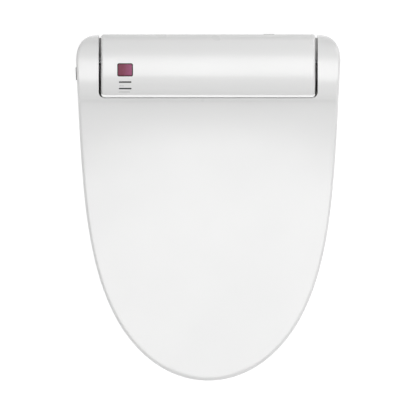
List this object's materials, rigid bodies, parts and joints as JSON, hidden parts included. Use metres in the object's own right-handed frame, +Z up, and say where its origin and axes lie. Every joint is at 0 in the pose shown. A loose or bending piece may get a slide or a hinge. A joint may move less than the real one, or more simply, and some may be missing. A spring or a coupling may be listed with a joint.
{
  "type": "electric bidet seat",
  "caption": "Electric bidet seat with closed lid over a heated ring on a low rear housing holding spray nozzles, dryer, display window and side button.",
  "frame": {"origin": "midway between the two bowl bolt holes, in the plane of the bowl's rim that the seat rests on", "axes": "+X to the right for a person facing the cistern, +Y back towards the cistern, +Z up; the seat points along -Y"},
  "size_m": [0.3818, 0.5003, 0.15],
  "materials": {
    "white_gloss": "glossy moulded white plastic",
    "white_satin": "satin moulded white plastic",
    "inner_plastic": "plain moulded plastic, hidden inside",
    "dark_bezel": "black gloss",
    "window_red": "tinted red window over the receiver",
    "lens_grey": "smoked lens",
    "board_green": "printed circuit board",
    "black_plastic": "black moulded plastic",
    "grey_plastic": "grey moulded plastic",
    "grey_rubber": "soft grey rubber",
    "brass": "plain machined brass",
    "steel": "plain steel",
    "heater_film": "copper-coloured heating film",
    "wire_black": "sheathed wire",
    "hose": "flexible hose"
  },
  "bodies": {
    "housing": {"base_casing": "white_satin", "top_cover": "white_gloss", "cover_gasket": "grey_rubber", "display_bezel": "dark_bezel", "receiver_window": "window_red", "indicator_lenses": "lens_grey", "display_board": "board_green", "control_board": "board_green", "power_supply": "board_green", "water_heater": "inner_plastic", "inlet_valve": "black_plastic", "inlet_fitting": "brass", "diverter_valve": "inner_plastic", "water_pipes": "hose", "nozzle_cradle": "inner_plastic", "nozzle_motors": "steel", "rear_feed_tube": "steel", "front_feed_tube": "steel", "dryer_housing": "inner_plastic", "dryer_motor": "steel", "dryer_heater": "heater_film", "deodorizer_housing": "inner_plastic", "deodorizer_motor": "steel", "lid_damper": "grey_plastic", "seat_damper": "grey_plastic", "cord_gland": "black_plastic", "casing_screws": "steel", "base_pads": "grey_rubber", "mounting_plate": "grey_plastic", "bolt_washers": "black_plastic", "button_switch": "board_green", "wiring_loom": "wire_black"},
    "lid": {"lid": "white_gloss", "lid_bumpers": "grey_rubber", "lid_damper_shaft": "steel", "lid_arm_bush": "inner_plastic"},
    "seat": {"seat_top_shell": "white_gloss", "seat_bottom_shell": "white_satin", "seat_heater": "heater_film", "seat_bumpers": "grey_rubber", "seat_damper_shaft": "steel", "seat_arm_bush": "inner_plastic"},
    "side_button": {"side_button": "black_plastic"},
    "release_button": {"release_button": "white_satin"},
    "deodorizer_filter": {"deodorizer_cartridge": "white_satin"},
    "deodorizer_fan": {"deodorizer_impeller": "inner_plastic"},
    "dryer_fan": {"dryer_impeller": "black_plastic"},
    "dryer_flap": {"dryer_flap": "white_satin"},
    "rear_nozzle": {"rear_nozzle": "white_satin", "rear_nozzle_tip": "white_gloss"},
    "front_nozzle": {"front_nozzle": "white_satin", "front_nozzle_tip": "white_gloss"},
    "rear_pinion": {"rear_pinion": "inner_plastic"},
    "front_pinion": {"front_pinion": "inner_plastic"},
    "drain_plug": {"drain_plug": "white_satin"}
  },
  "joints": [
    {"name": "seat_hinge", "type": "hinge", "parent": "housing", "child": "seat", "pos_m": [0, 0.025, 0.065], "axis": [-1, 0, 0], "range_deg": [0, 95]},
    {"name": "lid_hinge", "type": "hinge", "parent": "seat", "child": "lid", "pos_m": [0, 0.025, 0.065], "axis": [1, 0, 0], "range_deg": [-100, 0]},
    {"name": "side_button_press", "type": "slide", "parent": "housing", "child": "side_button", "axis": [1, 0, 0], "range_m": [0, 0.002], "stiffness_N_per_m": 900},
    {"name": "release_button_press", "type": "slide", "parent": "housing", "child": "release_button", "axis": [-1, 0, 0], "range_m": [0, 0.006], "stiffness_N_per_m": 800},
    {"name": "filter_slide", "type": "slide", "parent": "housing", "child": "deodorizer_filter", "axis": [1, 0, 0], "range_m": [0, 0.085]},
    {"name": "deodorizer_fan_spin", "type": "hinge", "parent": "housing", "child": "deodorizer_fan", "pos_m": [0.122, 0.008, 0.02], "axis": [0, 0, 1], "continuous": true},
    {"name": "dryer_fan_spin", "type": "hinge", "parent": "housing", "child": "dryer_fan", "pos_m": [0.06, 0.02, 0.06], "axis": [1, 0, 0], "continuous": true},
    {"name": "dryer_flap_swing", "type": "hinge", "parent": "housing", "child": "dryer_flap", "pos_m": [0.057, -0.05162, 0.03635], "axis": [-1, 0, 0], "range_deg": [0, 50]},
    {"name": "rear_nozzle_slide", "type": "slide", "parent": "housing", "child": "rear_nozzle", "axis": [0, -0.8192, -0.5736], "range_m": [0, 0.08]},
    {"name": "front_nozzle_slide", "type": "slide", "parent": "housing", "child": "front_nozzle", "axis": [0, -0.8192, -0.5736], "range_m": [0, 0.08]},
    {"name": "rear_pinion_spin", "type": "hinge", "parent": "housing", "child": "rear_pinion", "pos_m": [-0.01, -0.02015, 0.02772], "axis": [1, 0, 0], "range_deg": [-5, 724]},
    {"name": "front_pinion_spin", "type": "hinge", "parent": "housing", "child": "front_pinion", "pos_m": [0.01, -0.02015, 0.02772], "axis": [1, 0, 0], "range_deg": [-5, 724]},
    {"name": "drain_plug_turn", "type": "hinge", "parent": "housing", "child": "drain_plug", "pos_m": [-0.062, 0.058, 0.026], "axis": [0, 1, 0], "range_deg": [0, 90]}
  ],
  "couplings": [
    {"joint": "rear_pinion_spin", "follows": "rear_nozzle_slide", "rad_per_m": 156.25},
    {"joint": "front_pinion_spin", "follows": "front_nozzle_slide", "rad_per_m": 156.25}
  ]
}
